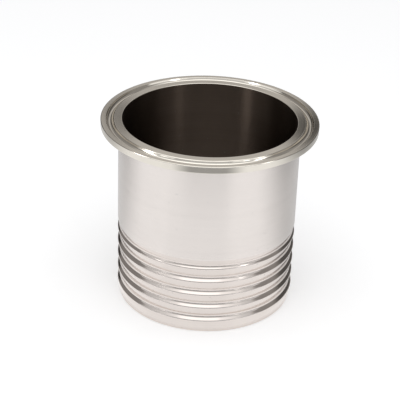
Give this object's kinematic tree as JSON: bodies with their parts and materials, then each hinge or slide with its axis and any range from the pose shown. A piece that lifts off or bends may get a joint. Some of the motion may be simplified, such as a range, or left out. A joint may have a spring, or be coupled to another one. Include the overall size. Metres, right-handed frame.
{
  "type": "sanitary clamp hose barb",
  "caption": "One-piece stainless adapter: a round clamp flange with a gasket groove on a short tube whose other end has saw-tooth barbs that hold a hose.",
  "frame": {"origin": "centre of the hose end's face, which the part stands on", "axes": "+Z along the bore, from the hose end towards the clamp flange; X and Y are alike, because the part is round"},
  "size_m": [0.0908, 0.0908, 0.081],
  "materials": {
    "turned_stainless": "bright turned and polished stainless steel with fine rings around the axis, darker in the bore"
  },
  "bodies": {
    "root": {"clamp_hose_barb": "turned_stainless"}
  },
  "joints": []
}
